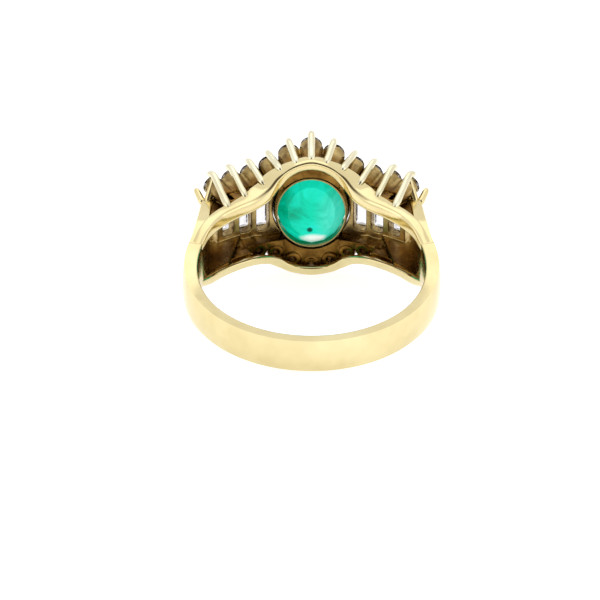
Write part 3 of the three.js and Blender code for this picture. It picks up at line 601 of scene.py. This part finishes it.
def wire(points, foot_radius, tip_radius, flare=0.0, sides=20, steps=40):
    """A round wire with a flared foot that thins into what it stands on, and a long rounded tip."""
    path = Spline(points)
    loops = []

    def ring_at(centre, along, radius):
        across = unit(vec(1, 0, 0) - along * along[0])
        aside = np.cross(along, across)
        return [centre + across * radius * math.cos(a) + aside * radius * math.sin(a) for a in circle(sides)]

    for i in range(steps + 1):
        t = i / steps
        radius = lerp(foot_radius, tip_radius, t) + flare * (1 - smoothstep(*FLARE_SPAN, t)) ** 2
        radius *= math.sqrt(1 - (1 - min(1, FOOT_START + t / FOOT_TAPER)) ** 2)
        loops.append(ring_at(path.at(t), path.along(t), radius))
    along = path.along(1)
    for a in map(math.radians, NOSE_TURNS):
        centre = path.at(1) + along * tip_radius * NOSE * math.sin(a)
        loops.append(ring_at(centre, along, tip_radius * math.cos(a)))
    return loft(loops)


HEAD_AXIS_Y = HEAD_TOP_Y - HEAD_RADIUS


def head_tilt(x):
    return math.asin(x / HEAD_RADIUS)


def on_head(x, height, z):
    """The point over x that lies a height above the head's curve."""
    tilt = head_tilt(x)
    reach = HEAD_RADIUS + height
    return vec(reach * math.sin(tilt), HEAD_AXIS_Y + reach * math.cos(tilt), z)


def on_head_matrix(x, height, z, side=1, row=1):
    at = on_head(x, height, z)
    flip = Matrix.Diagonal((side, 1, row, 1))
    return flip @ Matrix.Translation(Vector(at)) @ Matrix.Rotation(-head_tilt(x), 4, "Z")


def rail_top_at(x, halvings=24):
    """The foot of a claw: the point of the rail's outer edge, on the right half, that lies at x."""
    def top(t):
        outer = RAIL_OUTER.at(t)
        return outer + rail_back(t) * CLAW_FOOT_DEPTH * rail_depth(outer[0])
    low, high = 0.5, 1.0
    for _ in range(halvings):
        middle = (low + high) / 2
        if top(middle)[0] < x:
            low = middle
        else:
            high = middle
    return top(low) - vec(0, 0, CLAW_FOOT_INSET)


def claw(k):
    """The claw that holds round stone k, in the upper right quarter."""
    x, z, radius = ROUNDS[k]
    foot = rail_top_at(CLAW_FOOT_XS[k])
    outside = z + radius + CLAW_RADIUS
    beside = on_head(x, -CLAW_BEND, outside)
    tip = on_head(x, CLAW_RISE - NOSE * CLAW_TIP_RADIUS, outside - CLAW_BITE)
    sunk = foot - unit(beside - foot) * CLAW_SINK
    return wire([sunk, lerp(sunk, beside, 0.5), beside, tip], CLAW_RADIUS, CLAW_TIP_RADIUS, CLAW_FLARE)


def arm_claws():
    """The two short claws on an arm's top corner, one along the row and one past its end."""
    x, z, radius = ROUNDS[-1]
    foot = vec(ARM_TOP_INNER_X + ARM_TOP_THICKNESS / 2, ARM_TOP_Y - 0.6, ARM_TOP_HALF_WIDTH - END_CLAW_RADIUS)
    side = foot + vec(ARM_TOP_THICKNESS / 2 - END_CLAW_RADIUS, 0, 0)
    up = on_head(x, -0.45, z + radius + 0.1)
    end = on_head(x + radius + TIP_SHARE * END_CLAW_RADIUS, 0.1, z - 0.25)
    return [wire([a, lerp(a, b, 0.5), b], END_CLAW_RADIUS, TIP_SHARE * END_CLAW_RADIUS)
            for a, b in ((foot, up), (side, end))]


# ---- Collet ----

COLLET_TOP_Y = EMERALD_GIRDLE_Y - 0.1


def collet_half(y, offset):
    """Half the collet's width and length at a height, an offset outside the stone's own line."""
    t = (y - COLLET_FOOT_Y) / (COLLET_TOP_Y - COLLET_FOOT_Y)
    return (lerp(COLLET_FOOT_HALF_WIDTH, EMERALD_HALF_WIDTH, t) + offset,
            lerp(COLLET_FOOT_HALF_LENGTH, EMERALD_HALF_LENGTH, t) + offset)


def collet_wall(steps=120):
    outline = rounded(
        [(COLLET_FOOT_Y, COLLET_GAP), (COLLET_FOOT_Y, COLLET_LIP),
         (COLLET_TOP_Y, COLLET_WALL), (COLLET_TOP_Y, COLLET_GAP)],
        [0.05, 0.07, 0.1, 0.06], steps=5)
    loops = []
    for turn in circle(steps):
        halves = [(y, *collet_half(y, offset)) for y, offset in outline]
        loops.append([vec(half_x * math.cos(turn), y, half_z * math.sin(turn)) for y, half_x, half_z in halves])
    return loft(loops, closed=True)


def emerald_claw(side, row):
    """A wire up the collet's outside and over the emerald's edge."""
    angle = math.radians(EMERALD_CLAW_ANGLE)

    def at(y, offset):
        half_x, half_z = collet_half(y, offset)
        return vec(side * half_x * math.cos(angle), y, row * half_z * math.sin(angle))

    return wire(
        [at(COLLET_FOOT_Y + 0.9, COLLET_WALL - 0.1), at(EMERALD_GIRDLE_Y - 0.3, COLLET_WALL - 0.02),
         at(EMERALD_GIRDLE_Y + 0.15, COLLET_WALL - 0.06), at(EMERALD_GIRDLE_Y + 0.42, 0)],
        EMERALD_CLAW_RADIUS, 0.8 * EMERALD_CLAW_RADIUS)


# ---- Cast seats: solid primitives, cut and then softened ----

VOXEL, SMOOTH_PASSES = 0.05, 6


def temporary(name, verts, faces):
    obj = bpy.data.objects.new(name, mesh_of(name, verts, faces))
    scene.collection.objects.link(obj)
    return obj


def cone(place, top_radius, foot_radius, top, bottom, sides=32):
    return loft([[np.array(place @ Vector((radius * math.cos(a), height, radius * math.sin(a))))
                  for a in circle(sides)]
                 for height, radius in ((bottom, foot_radius), (top, top_radius))])


def block(place, size, centre=(0, 0, 0), corner=0.2):
    """A block with its upright edges rounded."""
    x, y, z = (s / 2 for s in size)
    outline = rounded([(-x, -z), (x, -z), (x, z), (-x, z)], [corner] * 4, steps=5)
    return loft([[np.array(place @ Vector((u + centre[0], h + centre[1], w + centre[2]))) for u, w in outline]
                 for h in (-y, y)])


def shell(from_x, to_x, top, bottom, from_z, to_z, steps=16):
    """A wall that follows the head's curve, between two depths below it."""
    outline = [(HEAD_RADIUS - bottom, from_z), (HEAD_RADIUS - bottom, to_z),
               (HEAD_RADIUS - top, to_z), (HEAD_RADIUS - top, from_z)]
    loops = []
    for i in range(steps + 1):
        tilt = lerp(head_tilt(from_x), head_tilt(to_x), i / steps)
        loops.append([vec(r * math.sin(tilt), HEAD_AXIS_Y + r * math.cos(tilt), z) for r, z in outline])
    return loft(loops)


def cut_and_soften(name, solids, cutters):
    """Joins solids, takes the cutters away and rounds every edge, as casting and polishing do."""
    base = temporary(name, *solids[0])
    others = [temporary(f"{name}_tool", *s) for s in solids[1:]]
    tools = [temporary(f"{name}_cutter", *c) for c in cutters]
    for operation, group in (("UNION", others), ("DIFFERENCE", tools)):
        for tool in group:
            mod = base.modifiers.new("cut", "BOOLEAN")
            mod.operation, mod.object, mod.solver = operation, tool, "MANIFOLD"
    mod = base.modifiers.new("soften", "REMESH")
    mod.mode, mod.voxel_size = "VOXEL", VOXEL
    mod = base.modifiers.new("smooth", "SMOOTH")
    mod.factor, mod.iterations = 0.5, SMOOTH_PASSES
    graph = bpy.context.evaluated_depsgraph_get()
    mesh = bpy.data.meshes.new_from_object(base.evaluated_get(graph))
    mesh.name = name
    for obj in [base, *others, *tools]:
        data = obj.data
        bpy.data.objects.remove(obj)
        bpy.data.meshes.remove(data)
    return mesh


def cup(k, side=1, row=1):
    """The cup that round stone k sits in."""
    x, z, radius = ROUNDS[k]
    place = on_head_matrix(x, 0, z, side, row)
    return cone(place, radius + SEAT_WALL, SEAT_FOOT_RADIUS, -CUP_TOP, -SEAT_DEPTH)


def cup_holes(k, side=1, row=1):
    """The room for round stone k, and the hole below it."""
    x, z, radius = ROUNDS[k]
    place = on_head_matrix(x, 0, z, side, row)
    return [cone(place, radius + SEAT_GAP, ROUND_HOLE_RADIUS, 0.0, -POCKET_DEPTH),
            cone(place, ROUND_HOLE_RADIUS, ROUND_HOLE_RADIUS, -HOLE_FROM, -HOLE_FROM - SEAT_DEPTH)]


def oval_cone(y0, x0, z0, y1, x1, z1, sides=64):
    return loft([[vec(x * math.cos(a), y, z * math.sin(a)) for a in circle(sides)]
                 for y, x, z in ((y0, x0, z0), (y1, x1, z1))])


def collet_space():
    """The collet's own room, from below its foot to above its top."""
    offset = COLLET_WALL + COLLET_GAP
    low, high = COLLET_FOOT_Y - 0.9, COLLET_TOP_Y + 0.4
    return oval_cone(low, *collet_half(low, offset), high, *collet_half(high, offset))


def halo_mesh(name):
    """The upper half of the seats round the emerald: an oval plate with five cups."""
    def oval(rim):
        return EMERALD_HALF_WIDTH + COLLET_WALL + rim, EMERALD_HALF_LENGTH + COLLET_WALL + rim

    plate_y = HEAD_TOP_Y - SEAT_DEPTH + 0.1
    plate = oval_cone(plate_y, *oval(HALO_RIM), plate_y + HALO_THICKNESS, *oval(HALO_TOP_RIM))
    below = block(Matrix.Translation((0, HEAD_TOP_Y, HALO_FROM_Z - 5)), (12, 8, 10), corner=0)
    places = [(0, 1)] + [(k, side) for k in HALO_ROUNDS for side in (-1, 1)]
    cups = [cup(k, side) for k, side in places]
    holes = [hole for k, side in places for hole in cup_holes(k, side)]
    return cut_and_soften(name, [plate, *cups], [below, collet_space(), *holes])


def gusset(row):
    """The web that closes the corner between an arm, a rail and the plate."""
    low, high = GUSSET_SPAN
    under_rail = []
    for i in range(9):
        t = lerp(low, high, i / 8)
        under_rail.append(RAIL_INNER.at(t) + rail_back(t) * 0.5 * RAIL_END_DEPTH)
    inside, _ = arm_faces()
    in_arm = [inside(t) + vec(0.25, 0, 0) for t in (0.35, 0.5, 0.65, 0.8, 0.93)]
    last_x = FIRST_BAGUETTE_X + 2 * BAGUETTE_PITCH
    under_plate = [on_head(x, -PLATE_TOP - PLATE_THICKNESS / 2, 0)
                   for x in (ROUNDS[-1][0] + PLATE_OVERLAP, last_x - BAGUETTE_WIDTH)]
    outline = [*under_rail, *in_arm, *under_plate]
    return loft([[vec(p[0], p[1], row * z) for p in outline]
                 for z in (GUSSET_FROM_Z, GUSSET_FROM_Z + GUSSET_THICKNESS)])


def wing_mesh(name):
    """The right-hand seats: a plate with three windows, and a wall, a floor and three cups along each edge."""
    half = ROW_WALL_FROM_Z + 0.1
    last_x = FIRST_BAGUETTE_X + 2 * BAGUETTE_PITCH
    from_x, end_x = EMERALD_HALF_WIDTH - 0.4, ROUNDS[-1][0] + PLATE_OVERLAP
    floor_foot = SEAT_DEPTH - 0.1
    solids = [shell(from_x, last_x + BAGUETTE_WIDTH / 2 + 0.2, PLATE_TOP - 0.25, PLATE_TOP + PLATE_THICKNESS,
                    -half, half)]
    cutters = [collet_space()]
    for row in (-1, 1):
        wall = sorted((row * ROW_WALL_FROM_Z, row * ROW_WALL_TO_Z))
        shelf = sorted((row * ROW_WALL_FROM_Z, row * (ROW_WALL_FROM_Z + FLOOR_WIDTH)))
        solids += [shell(ROUNDS[3][0] - 0.6, end_x, 0.3, SEAT_DEPTH - 0.12, *wall),
                   shell(from_x, end_x, floor_foot - FLOOR_THICKNESS, floor_foot, *shelf),
                   shell(ROUNDS[4][0] - PLATE_OVERLAP, end_x, SEAT_DEPTH - 0.3, SEAT_DEPTH + 0.75, *shelf),
                   gusset(row)]
        for k in WING_ROUNDS:
            solids.append(cup(k, 1, row))
            cutters += cup_holes(k, 1, row)
    for k, half_length in enumerate(BAGUETTE_HALF_LENGTHS):
        place = on_head_matrix(FIRST_BAGUETTE_X + k * BAGUETTE_PITCH, 0, 0)
        room = (BAGUETTE_WIDTH + BAGUETTE_GAP, 1.2, 2 * half_length + BAGUETTE_GAP)
        window = (BAGUETTE_WIDTH - 2 * WINDOW_LEDGE, 4, 2 * (half_length - WINDOW_LEDGE))
        cutters += [block(place, room, (0, 0.17, 0), corner=0.02),
                    block(place, window, (0, -1, 0), corner=WINDOW_CORNER)]
    return cut_and_soften(name, solids, cutters)


# ---- Stones ----

def ring_of_points(count, half_x, half_z, y, turn=0.0):
    return [(half_x * math.cos(a), y, half_z * math.sin(a)) for a in circle(count, turn)]


BRILLIANT = [  # corners, then radius and height as shares of the stone's radius, and turn: from the top down
    (8, 0.56, 0.32, 0), (8, 0.82, 0.18, 0.5), (32, 1, GIRDLE, 0), (32, 1, -GIRDLE, 0), (8, 0.26, -0.66, 0.5)]
BRILLIANT_POINT = -0.86


def brilliant(radius):
    corners = [p for count, reach, y, turn in BRILLIANT
               for p in ring_of_points(count, reach * radius, reach * radius, y * radius, turn)]
    return [*corners, (0, BRILLIANT_POINT * radius, 0)]


def baguette(half_width, half_length):
    """A step-cut bar: rectangles from the top down, which end in a ridge."""
    steps = [  # how far each one is inside the stone's edge, across and along, and its height
        (0.3, 0.3, BAGUETTE_TOP), (0.12, 0.12, 0.13), (0, 0, GIRDLE), (0, 0, -GIRDLE),
        (0.26, 0.26, BAGUETTE_TOP - 0.6 * BAGUETTE_DEPTH),
        (half_width - 0.06, 0.62, BAGUETTE_TOP - BAGUETTE_DEPTH)]
    return [(i * (half_width - in_x), y, k * (half_length - in_z))
            for in_x, in_z, y in steps for i in (-1, 1) for k in (-1, 1)]


def emerald():
    steps = [  # share of the girdle's size, height and turn of each row of corners, from the top down
        (0.62, EMERALD_CROWN, 0), (0.86, 0.6 * EMERALD_CROWN, 0.5), (1, 0.05, 0), (1, -0.05, 0),
        (0.95, -0.4 * EMERALD_PAVILION, 0.5), (0.86, -0.75 * EMERALD_PAVILION, 0),
        (0.62, -EMERALD_PAVILION, 0.5)]
    return [(x, y + EMERALD_GIRDLE_Y, z) for share, height, turn in steps for x, y, z in
            ring_of_points(16, share * EMERALD_HALF_WIDTH, share * EMERALD_HALF_LENGTH, height, turn)]


# ---- Assembly ----

def in_ring(name, part, side=1, row=1):
    """A mesh of verts and faces in millimetres, moved to one quarter of the ring in metres."""
    verts, faces = part
    return mesh_of(name, mirror(verts, side, row), faces, TO_WORLD)


def placed(mesh, side=1, row=1):
    """A mesh in millimetres of one quarter of the ring, moved to its place in metres."""
    mesh.transform(TO_WORLD @ Matrix.Diagonal((side, 1, row, 1)))
    if side * row < 0:
        mesh.flip_normals()
    return mesh


def gold_piece(name, mesh, look, node):
    piece(name, mesh, look, [node])


def stone(name, points, place, look, node, side=1, row=1):
    mesh = hull(name, points)
    mesh.transform(place)
    piece(name, placed(mesh, side, row), look, [node], smooth=False)


SIDES = (("left", -1), ("right", 1))
ROWS = (("upper", 1), ("lower", -1))

gold_piece("band", in_ring("band", band()), POLISHED, "shank_band")

arm = combine(arm_wall(), *arm_claws(), *[(mirror(v, 1, -1), f) for v, f in arm_claws()])
wing = wing_mesh("wing")
for side_name, side in SIDES:
    name = f"arm_{side_name}"
    gold_piece(name, in_ring(name, arm, side), POLISHED, f"shoulder_{name}")
    gold_piece(f"seats_{side_name}", placed(wing.copy(), side), SHADED_CAST_GOLD, f"wing_seats_{side_name}")

halo = halo_mesh("halo")
for row_name, row in ROWS:
    name, halo_node = f"rail_{row_name}", f"halo_seats_{row_name}"
    gold_piece(name, in_ring(name, rail(), 1, row), POLISHED, f"gallery_{name}")
    gold_piece(f"halo_{row_name}", placed(halo.copy(), 1, row), SHADED_CAST_GOLD, halo_node)
    gold_piece(f"claw_{row_name}_middle", in_ring("claw", claw(0), 1, row), TIP, halo_node)
    for side_name, side in SIDES:
        for k in (*HALO_ROUNDS, *WING_ROUNDS):
            name = f"{row_name}_{side_name}_{k}"
            gold_piece(f"prong_{name}", in_ring("claw", claw(k), side, row), TIP, f"claw_{name}")

emerald_claws = [emerald_claw(side, row) for side in (-1, 1) for row in (-1, 1)]
gold_piece("collet", in_ring("collet", combine(collet_wall(), *emerald_claws)), SHADED_COLLET_GOLD, "emerald_collet")

for row_name, row in ROWS:
    for k, (x, z, radius) in enumerate(ROUNDS):
        for side_name, side in SIDES if k else (("centre", 1),):
            label = f"{row_name}_{side_name}_{k}" if k else f"{row_name}_centre"
            stone(f"round_{label}", brilliant(radius), on_head_matrix(x, 0, z), DIAMOND,
                  f"round_stone_{label}", side, row)
for side_name, side in SIDES:
    for k, half_length in enumerate(BAGUETTE_HALF_LENGTHS):
        place = on_head_matrix(FIRST_BAGUETTE_X + k * BAGUETTE_PITCH, BAGUETTE_RAISE, 0)
        stone(f"step_cut_{side_name}_{k + 1}", baguette(BAGUETTE_WIDTH / 2, half_length), place, STEP_CUT,
              f"baguette_{side_name}_{k + 1}", side)
stone("green_oval", emerald(), Matrix.Identity(4), EMERALD, "emerald")

# ---- Floor, light and camera ----

FLOOR_SIZE = 3  # metres
bpy.ops.mesh.primitive_plane_add(size=FLOOR_SIZE)
floor = bpy.context.object
floor.name = "floor"
floor_material, floor_tree, floor_bsdf = material("floor")
floor_tones = [(NOISE_LOW, (0.50, 0.50, 0.50)), (NOISE_HIGH, (0.54, 0.54, 0.54))]
floor_tree.links.new(ramp(floor_tree, noise(floor_tree, 6, 2), floor_tones), floor_bsdf.inputs["Base Color"])
floor_bsdf.inputs["Roughness"].default_value = 0.9
floor_bsdf.inputs["Emission Color"].default_value = (1, 1, 1, 1)
floor_bsdf.inputs["Emission Strength"].default_value = 0.78  # lifts the floor to white, with no shadow left
floor.data.materials.append(floor_material)

TO_CAMERA = (0, -0.92, 0.38)
DARK_FROM, DARK_TO = 0.72, 0.9  # cosines of the angle from the camera's direction


def studio():
    """White all round, but for the dark side of the room behind the camera."""
    world = bpy.data.worlds.new("studio")
    world.use_nodes = True
    tree = world.node_tree
    coords = tree.nodes.new("ShaderNodeTexCoord")
    facing = tree.nodes.new("ShaderNodeVectorMath")
    facing.operation = "DOT_PRODUCT"
    facing.inputs[1].default_value = TO_CAMERA
    tree.links.new(coords.outputs["Generated"], facing.inputs[0])
    shade = ramp(tree, facing.outputs["Value"], [(DARK_FROM, (1, 1, 1)), (DARK_TO, (0.12, 0.10, 0.08))])
    tree.links.new(shade, tree.nodes["Background"].inputs["Color"])
    tree.nodes["Background"].inputs["Strength"].default_value = 1.03
    return world


def softbox(name, place, size, power):
    """A square light that faces the ring."""
    light = bpy.data.lights.new(name, "AREA")
    light.shape, light.size, light.size_y = "RECTANGLE", size, size
    light.energy = power
    obj = bpy.data.objects.new(name, light)
    scene.collection.objects.link(obj)
    obj.location = place
    obj.rotation_euler = (-Vector(place)).to_track_quat("-Z", "Y").to_euler()


scene.world = studio()
softbox("left_box", (-0.35, -0.18, 0.16), 0.22, 0.1)
softbox("right_box", (0.35, -0.18, 0.16), 0.22, 0.1)
softbox("top_box", (0.0, 0.1, 0.45), 0.4, 0.25)

CAMERA_DISTANCE = 0.3  # metres from the finger hole's centre
CAMERA_ELEVATION = math.radians(35.05)  # above the band's plane
SENSOR_WIDTH = 36
IMAGE_WIDTH, PIXELS_PER_MM = 600, 13.16
HOLE_IN_IMAGE = (311.6, 283.2)  # where the finger hole's centre shows, in pixels from the top left

camera_data = bpy.data.cameras.new("camera")
camera = bpy.data.objects.new("camera", camera_data)
scene.collection.objects.link(camera)
camera_data.sensor_width = SENSOR_WIDTH
camera_data.lens = SENSOR_WIDTH * PIXELS_PER_MM * CAMERA_DISTANCE / MM / IMAGE_WIDTH
camera_data.clip_start, camera_data.clip_end = 0.01, 10
towards = Vector((0, -math.cos(CAMERA_ELEVATION), math.sin(CAMERA_ELEVATION)))
upwards = Vector((0, math.sin(CAMERA_ELEVATION), math.cos(CAMERA_ELEVATION)))
right = Vector((1, 0, 0))
offset = right * (IMAGE_WIDTH / 2 - HOLE_IN_IMAGE[0]) + upwards * (HOLE_IN_IMAGE[1] - IMAGE_WIDTH / 2)
spot = RING @ (towards * CAMERA_DISTANCE + offset * (MM / PIXELS_PER_MM))
axes = RING.to_3x3() @ Matrix((right, upwards, towards)).transposed()
camera.matrix_world = Matrix.Translation(spot) @ axes.to_4x4()
scene.camera = camera

scene.view_settings.view_transform = "Standard"
scene.view_settings.look = "None"
scene.view_settings.exposure = 0.0
